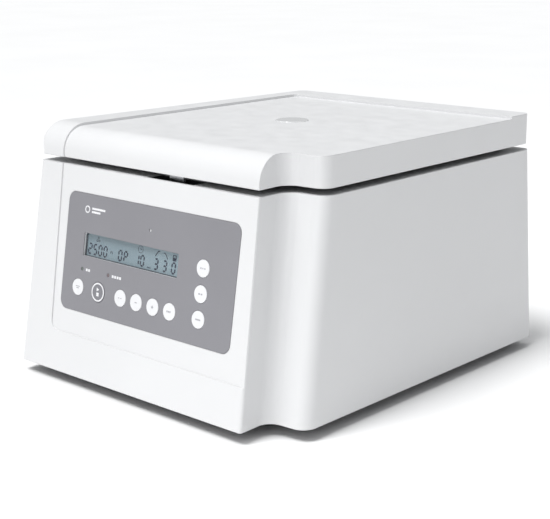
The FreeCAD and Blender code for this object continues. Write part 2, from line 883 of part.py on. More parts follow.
def power_side():
    floor = "foot_rise + 0.5 + base_thick"
    board_level = f"{floor} + 8"
    middle = ("-112", "-10")
    places = [(f"{middle[0]} + {dx}", f"{middle[1]} + {dy}") for dx in (-20, 20) for dy in (-58, 58)]
    board = box("power_board_plate", ("48", "126", "1.6"), (*middle, board_level))
    holes = []
    for index, (x, y) in enumerate(places):
        holes.append(rod(f"power_hole_{index}", "1.6", "4", (x, y, f"{board_level} - 1")))
    node("power_board", cut("power_board", board, holes))
    posts = [rod(f"board_post_{i}", "3.5", "8", (x, y, floor)) for i, (x, y) in enumerate(places)]
    node("board_posts", fuse("board_posts", posts))
    top = f"{board_level} + 1.6"
    cans = []
    for index, offset in enumerate((-36, -16, 6)):
        spot = (f"{middle[0]} - 8", f"{middle[1]} + {offset}", top)
        cans.append(rod(f"capacitor_{index}", "8", "24", spot))
    node("capacitors", fuse("capacitors", cans))
    sink_y = f"{middle[1]} + 20"
    sink = [box("heat_sink_foot", ("16", "46", "3.2"), (f"{middle[0]} + 12", sink_y, top))]
    for index in range(4):
        spot = (f"{middle[0]} + {6 + 4 * index}", sink_y, f"{top} + 3")
        sink.append(box(f"fin_{index}", ("2", "46", "26"), spot))
    node("heat_sink", fuse("heat_sink", sink))


def service_screws():
    half = "service_width / 2 - 3"
    low, high = "service_low + 3", "service_low + service_rise - 3"
    return [(f"panel_x + {sign} * ({half})", level) for sign in (-1, 1) for level in (low, high)]


SERVICES = {"inlet": "-26", "fuse": "6", "rocker": "30"}


def service_x(name):
    return f"panel_x + ({SERVICES[name]})"


def service_panel():
    """A steel plate behind the casing's rear opening, and what is mounted on it."""
    middle = "service_low + service_rise / 2"
    face = "-wall - 0.2"
    back = f"{face} - plate_thick"
    plate = box("service_plate", ("service_width", "service_rise", "plate_thick"), ("panel_x", middle, back))
    tools = []
    openings = {"inlet": ("27.4", "20.4"), "fuse": ("15.4", "28.4"), "rocker": ("19.4", "27.4")}
    for name, (width, height) in openings.items():
        tools.append(box(f"{name}_hole", (width, height, "8"), (service_x(name), middle, f"{back} - 3")))
    for index, (x, y) in enumerate(service_screws()):
        tools.append(rod(f"service_hole_{index}", "1.6", "8", (x, y, f"{back} - 3")))
    node("service_plate", cut("service_panel", plate, tools), REAR)
    screws = []
    for index, (x, y) in enumerate(service_screws()):
        screws.append(rod(f"service_screw_head_{index}", "3.2", "0.7", (x, y, "0")))
        screws.append(rod(f"service_screw_shank_{index}", "1.5", "wall + 5", (x, y, "-wall - 5")))
    for side in HINGE_SIDES:
        for index, (x, y) in enumerate(hinge_screws(side)):
            name = f"hinge_screw_{side}_{index}"
            screws.append(rod(f"{name}_head", "2.6", "1.2", (x, y, "1.8")))
            screws.append(rod(f"{name}_shank", "1.5", "wall + 4.5", (x, y, "-wall - 2.5")))
    node("rear_screws", fuse("rear_screws", screws), REAR)
    inlet(middle, face)
    fuse_drawer(middle, face)
    rocker(middle, face)


def inlet(middle, face):
    x = service_x("inlet")
    shell = fuse(
        "inlet_shell",
        [
            box("inlet_flange", ("31", "24", "3"), (x, middle, face)),
            box("inlet_block", ("27", "20", "22"), (x, middle, f"{face} - 22")),
        ],
    )
    cavity = box("inlet_cavity", ("23", "16", "20"), (x, middle, f"{face} - 16.5"))
    node("power_inlet", cut("power_inlet", shell, [cavity]), REAR)
    pins = []
    for index, (dx, dy) in enumerate(((-7, -2), (0, 2), (7, -2))):
        spot = (f"{x} + {dx}", f"{middle} + {dy}", f"{face} - 16.5")
        pins.append(box(f"inlet_pin_{index}", ("2", "4", "11"), spot))
    node("inlet_pins", fuse("inlet_pins", pins), REAR)


def fuse_drawer(middle, face):
    x = service_x("fuse")
    shell = fuse(
        "fuse_holder_shell",
        [
            box("fuse_flange", ("18", "31", "1.6"), (x, middle, face)),
            box("fuse_block", ("15", "28", "26"), (x, middle, f"{face} - 26")),
        ],
    )
    cavity = box("fuse_cavity", ("11", "24", "40"), (x, middle, f"{face} - 24"))
    node("fuse_holder", cut("fuse_holder", shell, [cavity]), REAR)
    front = box("fuse_drawer_front", ("10.4", "23.4", "1.8"), (x, middle, face))
    tray = box("fuse_drawer_tray", ("10.4", "23.4", "22"), (x, middle, f"{face} - 22"))
    hollows = []
    links = []
    for index, offset in enumerate((-5.4, 5.4)):
        y = f"{middle} + {offset}"
        hollows.append(box(f"fuse_pocket_{index}", ("7", "7.6", "18.4"), (x, y, f"{face} - 20")))
        hollows.append(box(f"fuse_side_{index}", ("12", "7.6", "16"), (f"{x} + 5", y, f"{face} - 18.6")))
        links.append(rod(f"fuse_{index}", "2.6", "18.4", (x, y, f"{face} - 20")))
    drawer = cut("fuse_drawer", fuse("fuse_drawer_block", [front, tray]), hollows)
    node("fuse_drawer", drawer, REAR)
    node("fuses", fuse("fuses", links), REAR)


def rocker(middle, face):
    """The rocker stands proud at one end and sinks at the other as it tips on its pivot."""
    x = service_x("rocker")
    bezel = fuse(
        "rocker_bezel",
        [
            box("rocker_flange", ("22", "30", "2"), (x, middle, face)),
            box("rocker_block", ("19", "27", "16"), (x, middle, f"{face} - 16")),
        ],
    )
    mouth = box("rocker_mouth", ("14", "23", "20"), (x, middle, f"{face} - 14"))
    node("rocker_frame", cut("rocker_frame", bezel, [mouth]), REAR)
    cap = body("rocker_switch")
    view = "rotation(vector(0;1;0);90)"
    side = [
        ("3.4", "-10.4", None),
        ("-3.6", "-10.2", None),
        ("-0.9", "0", None),
        ("-2.1", "10.4", None),
        ("3.4", "10.4", None),
        ("8", "2.5", None),
        ("8", "-2.5", None),
    ]
    seat = f"placement(vector({x} - 6.6;{middle};{face});{view})"
    sketch = sketch_on(cap, "rocker_side", seat, [side])
    pad(cap, "rocker_pad", sketch, "13.2")
    node("rocker_switch", cap, REAR)


# ---------------------------------------------------------------- lid


def lid_plan(inset):
    return plan("1", f"lid_inset + {inset}")


def side_profile(front_in, top_in):
    """The lid's outline seen from the side: an upright front edge that rolls over to the top."""
    front = f"lid_front_y + {front_in}"
    top = f"lid_top - ({top_in})"
    return [
        (front, "lid_low - 20", None),
        (front, top, f"lid_roll - ({top_in})"),
        ("body_depth", top, None),
        ("body_depth", "lid_low - 20", None),
    ]


def lid_blank(name, inset, front_in, top_in, base="lid_low"):
    upright = prism(f"{name}_plan", frame(z=base), "60", lid_plan(inset))
    across = frame(x="-body_width", turn=SIDE_VIEW)
    rolled = prism(f"{name}_profile", across, "body_width * 2", side_profile(front_in, top_in))
    return common(name, upright, rolled)


def lid_shell():
    """Band and recessed field are two blanks: one is kept outside the field, one inside it."""
    band = lid_blank("lid_band_blank", "0", "0", "0")
    field_rear = "lid_rear_y - strip_rear"
    field_region = rectangle("-strip_left", "front_y - 40", "body_width", field_rear, "strip_radius")
    region = prism("lid_field_region", frame(z="lid_low - 30"), "120", field_region)
    outer = cut("lid_band", band, [region])
    field = lid_blank("lid_field_blank", "0", "lid_front_step", "lid_step")
    whole = fuse("lid_solid", [outer, field])
    inside = ("lid_wall", "lid_front_step + lid_wall", "lid_step + lid_wall")
    hollow = lid_blank("lid_hollow", *inside, "lid_low - 5")
    port = rod("lid_port_hole", "port_radius + 0.15", "40", ("rotor_x", "rotor_y", "lid_low"))
    node("lid_shell", cut("lid_shell", whole, [hollow, port]))


def lid_port():
    disc = revolve(
        "port_disc",
        [
            ("0", "-lid_wall - 1.6", None),
            ("port_radius + 2.5", "-lid_wall - 1.6", None),
            ("port_radius + 2.5", "-lid_wall - 0.05", None),
            ("port_radius", "-lid_wall - 0.05", None),
            ("port_radius", "0.6", "0.5"),
            ("0", "0.6", None),
        ],
    )
    node("port_disc", disc, frame("rotor_x", "rotor_y", "lid_top - lid_step"))


def lid_liner():
    """A flat plastic tray closes the lid from below, and its ring faces the chamber gasket."""
    inset = "lid_wall + 0.5"
    tray = prism("liner_tray", frame(z="liner_level"), "2", plan_behind_roll(inset))
    low = "deck + 1.2 + gasket_rise + 0.4"
    at = ("rotor_x", "rotor_y", low)
    rim = ring("liner_ring", "bowl_radius + 8", "bowl_radius + 2", f"liner_level - ({low})", at)
    node("lid_liner", fuse("lid_liner", [tray, rim]))


def plan_behind_roll(inset):
    """The lid's plan inside its walls, with the front drawn back behind the rolled edge."""
    corners = lid_plan(inset)
    back = "lid_front_step + 1"
    fixed = []
    for index, (x, y, radius) in enumerate(corners):
        fixed.append((x, f"{y} + {back}", radius) if index < 2 else (x, y, radius))
    return fixed


def lid_hook():
    plate = box("hook_plate", ("26", "11", "1.8"), ("latch_x", "latch_y", "liner_level - 1.8"))
    strip = box("hook_strip", ("16", "3", "liner_level - deck + 15"), ("latch_x", "latch_y", "deck - 15"))
    window = box("hook_window", ("9.4", "8", "7"), ("latch_x", "latch_y", "deck - 12"))
    node("lid_hook", cut("lid_hook", fuse("hook_blank", [plate, strip]), [window]))


def latch():
    """A box hung under the roof takes the hook, and a spring bolt slides through the hook."""
    width, depth = "latch_width - 0.6", "latch_depth - 0.6"
    low = "deck - 24"
    top = "deck - roof - 2"
    shell = fuse(
        "latch_shell",
        [
            box("latch_block", (width, depth, "24 - 0.4"), ("latch_x", "latch_y", low)),
            box("latch_flange", ("latch_width + 10", "latch_depth", "2"), ("latch_x", "latch_y + 0.8", top)),
        ],
    )
    cavity = box("latch_cavity", (f"{width} - 5", f"{depth} - 3.4", "30"), ("latch_x", "latch_y", f"{low} + 3"))
    window = box("latch_window", ("9", "12", "6.4"), ("latch_x", "latch_y + latch_depth / 2", "deck - 11.7"))
    node("latch_housing", cut("latch_housing", shell, [cavity, window]))
    tip = "latch_y + latch_depth / 2 - 2.3"
    bolt = solid(
        "Part::Box",
        "latch_bolt",
        {"Length": "8.4", "Width": "22", "Height": "5.6"},
        ("latch_x - 4.2", tip, "deck - 11.3"),
    )
    node("latch_bolt", bolt)
    coil_y = "latch_y + latch_depth / 2 + 11.5"
    coil = box("solenoid_block", ("26", "15", "16"), ("latch_x", coil_y, "deck - roof - 17"))
    bore = box("solenoid_bore", ("9", "20", "6.4"), ("latch_x", coil_y, "deck - 11.7"))
    node("latch_solenoid", cut("latch_solenoid", coil, [bore]))


# ---------------------------------------------------------------- hinges

ACROSS = "rotation(vector(0;1;0);90)"


def hinge(side, x):
    """The bracket is screwed to the casing's rear wall, and the arm to the lid's."""
    rear_x = f"-({x})"
    leaf = solid("Part::Box", f"bracket_leaf_{side}", {"Length": "36", "Width": "20", "Height": "1.8"})
    place(leaf, f"{REAR} * {frame(f'{rear_x} - 18', 'body_rise - 20', '0')}")
    parts = [leaf]
    for index, low in enumerate((f"{x} - 18", f"{x} + 8")):
        middle = (f"{low} + 5", "hinge_y - 0.4", "deck - 2")
        parts.append(box(f"bracket_web_{side}_{index}", ("10", "3.2", "hinge_level - deck + 2"), middle))
        start = (low, "hinge_y", "hinge_level")
        parts.append(rod(f"bracket_barrel_{side}_{index}", "knuckle_radius", "10", start, ACROSS))
    start = (f"{x} - 20", "hinge_y", "hinge_level")
    tools = [rod(f"bracket_bore_{side}", "pin_radius", "40", start, ACROSS)]
    for index, spread in enumerate(("-hinge_spread", "hinge_spread")):
        hole = solid("Part::Cylinder", f"bracket_hole_{side}_{index}", {"Radius": "1.5", "Height": "6"})
        place(hole, f"{REAR} * {frame(f'{rear_x} + {spread}', 'body_rise - 11', '-2')}")
        tools.append(hole)
    bracket = cut(f"hinge_bracket_{side}", fuse(f"bracket_blank_{side}", parts), tools)
    node(f"hinge_bracket_{side}", bracket)
    arm_leaf = box(f"arm_leaf_{side}", ("15.4", "1.8", "14"), (x, "lid_rear_y + 0.9", "lid_low + 1"))
    arm_web = box(f"arm_web_{side}", ("15.4", "4.4", "4"), (x, "lid_rear_y + 2.4", "hinge_level + 0.6"))
    start = (f"{x} - 7.7", "hinge_y", "hinge_level")
    arm_barrel = rod(f"arm_barrel_{side}", "knuckle_radius", "15.4", start, ACROSS)
    arm_blank = fuse(f"arm_blank_{side}", [arm_leaf, arm_web, arm_barrel])
    bore_start = (f"{x} - 20", "hinge_y", "hinge_level")
    bore = rod(f"arm_bore_{side}", "pin_radius + shaft_fit", "40", bore_start, ACROSS)
    node(f"hinge_arm_{side}", cut(f"hinge_arm_{side}", arm_blank, [bore]))


def hinges():
    for side, x in HINGE_SIDES.items():
        hinge(side, x)
    pins = [
        rod(f"hinge_pin_{side}", "pin_radius", "36", (f"{x} - 18", "hinge_y", "hinge_level"), ACROSS)
        for side, x in HINGE_SIDES.items()
    ]
    node("hinge_pins", fuse("hinge_pins", pins))


# ---------------------------------------------------------------- build and write


def build():
    outer_casing()
    base_plate()
    feet()
    control_membrane()
    lcd()
    keys()
    control_board()
    chamber()
    motor()
    rotor()
    tube_sleeves()
    rotor_nut()
    power_side()
    service_panel()
    lid_shell()
    lid_port()
    lid_liner()
    lid_hook()
    latch()
    hinges()


def is_failed(item):
    return bool({"Invalid", "Error"} & set(item.State))


def check():
    failed = [item.Name for item in DOC.Objects if is_failed(item)]
    for name, item in NODES.items():
        if item.Shape.isNull() or not item.Shape.isValid():
            failed.append(name)
    if failed:
        raise RuntimeError("failed: " + ", ".join(failed))


def write():
    os.makedirs("parts", exist_ok=True)
    for name, item in NODES.items():
        item.Shape.exportStep(f"parts/{name}.step")
        print(name, len(item.Shape.Solids), round(item.Shape.Volume))
    print(len(NODES), "sub-parts")


build()
DOC.recompute()
check()
write()
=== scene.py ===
import json
import math

import bpy
from mathutils import Matrix, Vector


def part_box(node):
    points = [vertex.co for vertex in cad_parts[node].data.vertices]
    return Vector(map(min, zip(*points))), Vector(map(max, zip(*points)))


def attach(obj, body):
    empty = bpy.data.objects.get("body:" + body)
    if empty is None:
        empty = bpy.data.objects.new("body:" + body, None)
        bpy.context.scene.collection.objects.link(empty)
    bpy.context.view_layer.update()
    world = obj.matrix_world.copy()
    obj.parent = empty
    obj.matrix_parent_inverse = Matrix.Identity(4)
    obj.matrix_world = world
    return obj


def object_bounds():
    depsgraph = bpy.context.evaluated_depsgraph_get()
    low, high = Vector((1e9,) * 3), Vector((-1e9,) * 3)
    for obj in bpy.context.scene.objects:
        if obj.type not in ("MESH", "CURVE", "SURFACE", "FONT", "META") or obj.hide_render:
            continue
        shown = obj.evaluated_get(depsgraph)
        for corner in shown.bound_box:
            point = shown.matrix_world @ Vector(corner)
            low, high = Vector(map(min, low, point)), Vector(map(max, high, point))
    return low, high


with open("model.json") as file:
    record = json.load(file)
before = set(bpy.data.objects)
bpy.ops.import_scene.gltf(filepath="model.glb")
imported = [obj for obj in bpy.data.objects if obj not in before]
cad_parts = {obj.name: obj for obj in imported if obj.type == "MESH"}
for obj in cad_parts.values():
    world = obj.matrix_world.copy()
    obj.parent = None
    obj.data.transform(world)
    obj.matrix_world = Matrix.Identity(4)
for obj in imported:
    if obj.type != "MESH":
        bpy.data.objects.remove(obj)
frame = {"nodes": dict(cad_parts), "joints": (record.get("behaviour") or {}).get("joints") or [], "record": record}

MM = 0.001
CAD_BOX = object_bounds()

# ---------------------------------------------------------------- node helpers


class Shader:
    """One procedural material, and short ways to add and join its nodes."""

    def __init__(self, name, roughness, metallic=0.0, coat=0.0):
        self.material = bpy.data.materials.new(name)
        self.material.use_nodes = True
        self.tree = self.material.node_tree
        self.main = self.tree.nodes["Principled BSDF"]
        self.main.inputs["Roughness"].default_value = roughness
        self.main.inputs["Metallic"].default_value = metallic
        self.main.inputs["Coat Weight"].default_value = coat
        self.place = self.add("ShaderNodeTexCoord").outputs["Object"]
        self.edge = None

    def add(self, kind, **fields):
        node = self.tree.nodes.new(kind)
        for field, value in fields.items():
            setattr(node, field, value)
        return node

    def join(self, start, end):
        self.tree.links.new(start, end)

    def stretched(self, scale):
        node = self.add("ShaderNodeMapping")
        node.inputs["Scale"].default_value = scale
        self.join(self.place, node.inputs["Vector"])
        return node.outputs["Vector"]

    def noise(self, scale, detail=3.0, stretch=None):
        node = self.add("ShaderNodeTexNoise")
        node.inputs["Scale"].default_value = scale
        node.inputs["Detail"].default_value = detail
        self.join(self.stretched(stretch) if stretch else self.place, node.inputs["Vector"])
        return node.outputs["Fac"]

    def ramp(self, source, low, high, at=(0.35, 0.65)):
        """Turn a 0-1 value into a range of greys or colours."""
        node = self.add("ShaderNodeValToRGB")
        for element, share, value in zip(node.color_ramp.elements, at, (low, high)):
            element.position = share
            element.color = value if hasattr(value, "__len__") else (value, value, value, 1)
        self.join(source, node.inputs["Fac"])
        return node.outputs["Color"]

    def mix(self, share, first, second):
        node = self.add("ShaderNodeMix", data_type="RGBA")
        for socket, value in ((node.inputs[0], share), (node.inputs[6], first), (node.inputs[7], second)):
            if hasattr(value, "is_output"):
                self.join(value, socket)
            else:
                socket.default_value = value
        return node.outputs[2]

    def soft_edges(self, radius):
        """Round the edges' shading, and find the edges as a mask for lighter colour: part wear, part painted
        highlight.
        """
        bevel = self.add("ShaderNodeBevel", samples=6)
        bevel.inputs["Radius"].default_value = radius
        flat = self.add("ShaderNodeNewGeometry").outputs["Normal"]
        meet = self.add("ShaderNodeVectorMath", operation="DOT_PRODUCT")
        self.join(bevel.outputs["Normal"], meet.inputs[0])
        self.join(flat, meet.inputs[1])
        # This mask lightens edges in the materials; it stands partly for wear and partly for a painted highlight
        # along the edges.
        self.edge = self.ramp(meet.outputs["Value"], 1.0, 0.0, (0.9, 0.998))
        return bevel.outputs["Normal"]

    def bump(self, source, strength, distance, normal=None):
        node = self.add("ShaderNodeBump")
        node.inputs["Strength"].default_value = strength
        node.inputs["Distance"].default_value = distance
        self.join(source, node.inputs["Height"])
        if normal:
            self.join(normal, node.inputs["Normal"])
        self.join(node.outputs["Normal"], self.main.inputs["Normal"])

    def colour(self, source):
        self.join(source, self.main.inputs["Base Color"])

    def rough(self, source):
        self.join(source, self.main.inputs["Roughness"])


def shade(colour, factor):
    return (*(min(1.0, channel * factor) for channel in colour), 1)


def moulded(name, colour, rough, grain=1400, depth=0.00002, edge=0.0006, coat=0.0, spread=0.04):
    """Moulded or painted plastic: fine grain, faint blotches, and softer, lighter edges that are part handling
    wear and part painted highlight.
    """
    s = Shader(name, rough, coat=coat)
    blotch = s.ramp(s.noise(9, 4), shade(colour, 1 - spread), shade(colour, 1 + spread / 2))
    normal = s.soft_edges(edge)
    # Lighter edges: part wear, part painted highlight.
    s.colour(s.mix(s.edge, blotch, shade(colour, 1 + spread)))
    s.rough(s.ramp(s.noise(60, 5), rough * 0.85, rough * 1.2))
    s.bump(s.noise(grain, 2), 0.25, depth, normal)
    return s.material


def brushed(name, colour, rough, stretch, edge=0.0004):
    """Metal with drawn or turned lines along one direction, and lighter edges that are part scuffing and part
    painted highlight.
    """
    s = Shader(name, rough, metallic=1.0)
    lines = s.noise(60, 6, stretch)
    normal = s.soft_edges(edge)
    # Lighter edges: part scuffing, part painted highlight.
    s.colour(s.mix(s.edge, s.ramp(lines, shade(colour, 0.88), shade(colour, 1.08)), shade(colour, 1.25)))
    s.rough(s.ramp(lines, rough * 0.75, rough * 1.35))
    s.bump(lines, 0.2, 0.00002, normal)
    return s.material


def turned(name, colour, rough, centre):
    """Lathe rings round a vertical axis."""
    s = Shader(name, rough, metallic=1.0)
    offset = s.add("ShaderNodeMapping")
    offset.inputs["Location"].default_value = (-centre[0], -centre[1], 0)
    s.join(s.place, offset.inputs["Vector"])
    rings = s.add("ShaderNodeTexWave", wave_type="RINGS", rings_direction="Z")
    rings.inputs["Scale"].default_value = 420
    rings.inputs["Distortion"].default_value = 0.6
    rings.inputs["Detail"].default_value = 2
    s.join(offset.outputs["Vector"], rings.inputs["Vector"])
    normal = s.soft_edges(0.0004)
    tone = s.ramp(rings.outputs["Fac"], shade(colour, 0.9), shade(colour, 1.08), (0.1, 0.9))
    # Lighter edges: part wear, part painted highlight.
    s.colour(s.mix(s.edge, tone, shade(colour, 1.2)))
    s.rough(s.ramp(s.noise(40, 4), rough * 0.8, rough * 1.3))
    s.bump(rings.outputs["Fac"], 0.15, 0.00002, normal)
    return s.material


def rubber(name, colour):
    s = Shader(name, 0.75)
    dust = s.ramp(s.noise(120, 6), shade(colour, 1.0), shade(colour, 2.2), (0.45, 0.8))
    s.colour(dust)
    s.bump(s.noise(1800, 3), 0.5, 0.00005, s.soft_edges(0.0006))
    return s.material


def clear(name, colour, alpha, rough=0.05):
    s = Shader(name, rough)
    s.colour(s.ramp(s.noise(25, 3), shade(colour, 0.94), shade(colour, 1.04)))
    s.rough(s.ramp(s.noise(220, 5), rough * 0.6, rough * 1.8))
    s.main.inputs["Alpha"].default_value = alpha
    s.bump(s.noise(500, 2), 0.05, 0.00001, s.soft_edges(0.0003))
    return s.material


def board(name):
    """Green resin board with a faint weave and darker tracks."""
    s = Shader(name, 0.35, coat=0.4)
    weave = s.noise(900, 2, (1, 1, 1))
    tracks = s.add("ShaderNodeTexBrick")
    tracks.inputs["Scale"].default_value = 120
    tracks.inputs["Color1"].default_value = (0.02, 0.16, 0.06, 1)
    tracks.inputs["Color2"].default_value = (0.025, 0.2, 0.08, 1)
    tracks.inputs["Mortar"].default_value = (0.05, 0.3, 0.12, 1)
    s.join(s.place, tracks.inputs["Vector"])
    s.colour(tracks.outputs["Color"])
    s.bump(weave, 0.3, 0.00003)
    return s.material


def display(name):
    """Reflective display glass: blue-grey with faint clouds and a fine grain, and a faint painted glow that lifts
    its brightness.
    """
    s = Shader(name, 0.35)
    cloud = s.ramp(s.noise(14, 2), (0.175, 0.235, 0.265, 1), (0.215, 0.285, 0.32, 1))
    s.colour(cloud)
    # Painted light: a faint glow, though the display has no lamp of its own.
    s.main.inputs["Emission Color"].default_value = (0.5, 0.66, 0.74, 1)
    s.main.inputs["Emission Strength"].default_value = 0.03
    s.bump(s.noise(3000, 1), 0.1, 0.00001)
    return s.material


def ink(name, colour, rough=0.5):
    s = Shader(name, rough)
    s.colour(s.ramp(s.noise(700, 4), shade(colour, 0.9), shade(colour, 1.08)))
    s.bump(s.noise(2500, 2), 0.2, 0.00001)
    return s.material


# ---------------------------------------------------------------- materials of the CAD nodes

rotor_low, rotor_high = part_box("angle_rotor")
SPIN = ((rotor_low.x + rotor_high.x) / 2, (rotor_low.y + rotor_high.y) / 2)

WHITE = (0.735, 0.738, 0.745)
MATERIALS = {
    "casing_white": moulded("casing_white", WHITE, 0.34, grain=900, edge=0.0009, spread=0.012),
    # Painted shade: the base plate is coloured near black so the gap under the body reads as a dark contact
    # shadow.
    "steel_pan": brushed("steel_pan", (0.1, 0.1, 0.105), 0.55, (1, 14, 14)),
    "foot_rubber": rubber("foot_rubber", (0.022, 0.022, 0.024)),
    "screw_steel": brushed("screw_steel", (0.6, 0.61, 0.63), 0.28, (1, 6, 24)),
    "panel_grey": moulded("panel_grey", (0.245, 0.243, 0.262), 0.42, grain=2600, edge=0.0003, spread=0.03),
    "clear_window": clear("clear_window", (0.6, 0.66, 0.7), 0.03),
    "lcd_module": moulded("lcd_module", (0.09, 0.1, 0.12), 0.5),
    "lcd_face": display("lcd_face"),
    "key_white": moulded("key_white", (0.78, 0.785, 0.8), 0.45, grain=2600, edge=0.0003),
    "key_grey": moulded("key_grey", (0.21, 0.21, 0.23), 0.45, grain=2600, edge=0.0003),
    "board_green": board("board_green"),
    "black_plastic": moulded("black_plastic", (0.022, 0.022, 0.025), 0.42, spread=0.25),
    # Painted shade: the white nylon parts, the lid liner among them, are coloured dark grey so the gap between lid
    # and body looks shaded.
    "nylon_white": moulded("nylon_white", (0.07, 0.07, 0.072), 0.5),
    "lamp_green": moulded("lamp_green", (0.12, 0.14, 0.13), 0.2, coat=0.6),
    "lamp_red": moulded("lamp_red", (0.16, 0.12, 0.13), 0.2, coat=0.6),
    "bowl_steel": turned("bowl_steel", (0.6, 0.61, 0.62), 0.24, SPIN),
    "motor_paint": moulded("motor_paint", (0.05, 0.055, 0.065), 0.45),
    "motor_core": brushed("motor_core", (0.35, 0.33, 0.31), 0.55, (1, 1, 40)),
    "rotor_aluminium": turned("rotor_aluminium", (0.42, 0.43, 0.45), 0.32, SPIN),
    "sleeve_nylon": moulded("sleeve_nylon", (0.6, 0.61, 0.58), 0.5),
    "nut_aluminium": turned("nut_aluminium", (0.62, 0.63, 0.65), 0.25, SPIN),
    "can_blue": moulded("can_blue", (0.03, 0.05, 0.16), 0.35, coat=0.3),
    "pin_brass": brushed("pin_brass", (0.75, 0.6, 0.32), 0.3, (20, 1, 20)),
    "fuse_glass": clear("fuse_glass", (0.75, 0.8, 0.8), 0.35),
}

for row in frame["record"]["subparts"]:
    node = frame["nodes"][row["node"]]
    node.data.materials.clear()
    node.data.materials.append(MATERIALS[row["material_slot"]])

port = moulded("port_acrylic", (0.76, 0.765, 0.77), 0.16, coat=0.5, spread=0.02)
frame["nodes"]["port_disc"].data.materials.clear()
frame["nodes"]["port_disc"].data.materials.append(port)

PRINT_WHITE = ink("print_white", (0.8, 0.8, 0.82))
PRINT_GREY = ink("print_grey", (0.42, 0.42, 0.45))
SEGMENT_INK = ink("segment_ink", (0.008, 0.012, 0.035), 0.3)

# ---------------------------------------------------------------- the front face as a drawing plane

press = next(j for j in frame["joints"] if j["name"] == "key_mode_press")
OUT = -Vector(press["axis"]).normalized()
RIGHT = Vector((1, 0, 0))
UP = OUT.cross(RIGHT)


def reach(node, direction):
    """Lowest and highest distance of a node's points along a direction."""
    spans = [direction.dot(v.co) for v in frame["nodes"][node].data.vertices]
    return min(spans), max(spans)


def on_face(x, up, out):
    return RIGHT * x + UP * up + OUT * out


def stamp(name, shapes, face, thick, material, body):
    """Thin raised shapes on the front plane. Each shape is a list of (x, up) points, in metres."""
    verts = []
    faces = []
    for points in shapes:
        start = len(verts)
        count = len(points)
        for level in (face, face + thick):
            verts += [on_face(x, up, level) for x, up in points]
        faces.append([start + i for i in reversed(range(count))])
        faces.append([start + count + i for i in range(count)])
        for i in range(count):
            after = (i + 1) % count
            faces.append([start + i, start + after, start + count + after, start + count + i])
    mesh = bpy.data.meshes.new(name)
    mesh.from_pydata(verts, [], faces)
    mesh.materials.append(material)
    piece = bpy.data.objects.new(name, mesh)
    bpy.context.scene.collection.objects.link(piece)
    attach(piece, body)
    return piece


def bar(x, up, width, height):
    return [(x, up), (x + width, up), (x + width, up + height), (x, up + height)]


def stroke(start, end, width):
    """A straight stroke between two points."""
    a, b = Vector(start), Vector(end)
    side = (b - a).normalized().orthogonal() * width / 2
    return [tuple(a - side), tuple(b - side), tuple(b + side), tuple(a + side)]


def arc_strip(x, up, radius, width, low=0, high=360, steps=28):
    """A ring or part of one, as short quads."""
    shapes = []
    for i in range(steps):
        a, b = (math.radians(low + (high - low) * k / steps) for k in (i, i + 1))
        ring = [(r * math.cos(t), r * math.sin(t)) for r, t in
                ((radius, a), (radius, b), (radius - width, b), (radius - width, a))]
        shapes.append([(x + dx, up + dy) for dx, dy in reversed(ring)])
    return shapes


# ---------------------------------------------------------------- display read-out

GLASS_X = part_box("lcd_glass")[0].x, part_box("lcd_glass")[1].x
GLASS_UP = reach("lcd_glass", UP)
GLASS_FACE = reach("lcd_glass", OUT)[1]
WIDE = GLASS_X[1] - GLASS_X[0]
TALL = GLASS_UP[1] - GLASS_UP[0]

SEGMENTS = {
    "0": "abcdef", "1": "bc", "2": "abged", "3": "abgcd", "5": "afgcd", "P": "abefg",
}
# Each figure and where it starts, as a share of the glass's width.
FIGURES = (
    ("2", 0.036), ("5", 0.093), ("0", 0.15), ("0", 0.207),
    ("0", 0.372), ("P", 0.432),
    ("1", 0.555), ("0", 0.61),
    ("3", 0.755), ("3", 0.845), ("0", 0.934),
)
SLANT = 0.05
SETBACK = 0.028
INK_LIFT = 0.00002
INK_THICK = 0.00008


def digit(char, x, up, width, height, line):
    """The lit bars of one seven-segment figure."""
    half = height / 2
    gap = line * 0.18
    level = {"a": height - line / 2, "g": half, "d": line / 2}
    near, far = line / 2, width - line / 2
    column = {"f": (near, half), "b": (far, half), "e": (near, 0), "c": (far, 0)}
    shapes = []
    for name in SEGMENTS[char]:
        if name in level:
            y = level[name]
            a, b, w = line / 2 + gap, width - line / 2 - gap, line / 2
            points = [(a, y), (a + w, y - w), (b - w, y - w), (b, y), (b - w, y + w), (a + w, y + w)]
        else:
            cx, base = column[name]
            a = base + line / 2 * (base == 0) + gap
            b = base + half - line / 2 * (base > 0) - gap
            w = line / 2
            points = [(cx, a), (cx + w, a + w), (cx + w, b - w), (cx, b), (cx - w, b - w), (cx - w, a + w)]
        shapes.append([(x + px + SLANT * py, up + py) for px, py in points])
    return shapes


def read_out():
    shapes = []
    height, width, line = TALL * 0.54, WIDE * 0.047, WIDE * 0.0135
    base = GLASS_UP[0] + TALL * 0.06
    for char, share in FIGURES:
        shapes += digit(char, GLASS_X[0] + WIDE * (share - SETBACK), base, width, height, line)
    return shapes


def at_glass(share_x, share_up):
    return GLASS_X[0] + WIDE * (share_x - SETBACK), GLASS_UP[0] + TALL * share_up


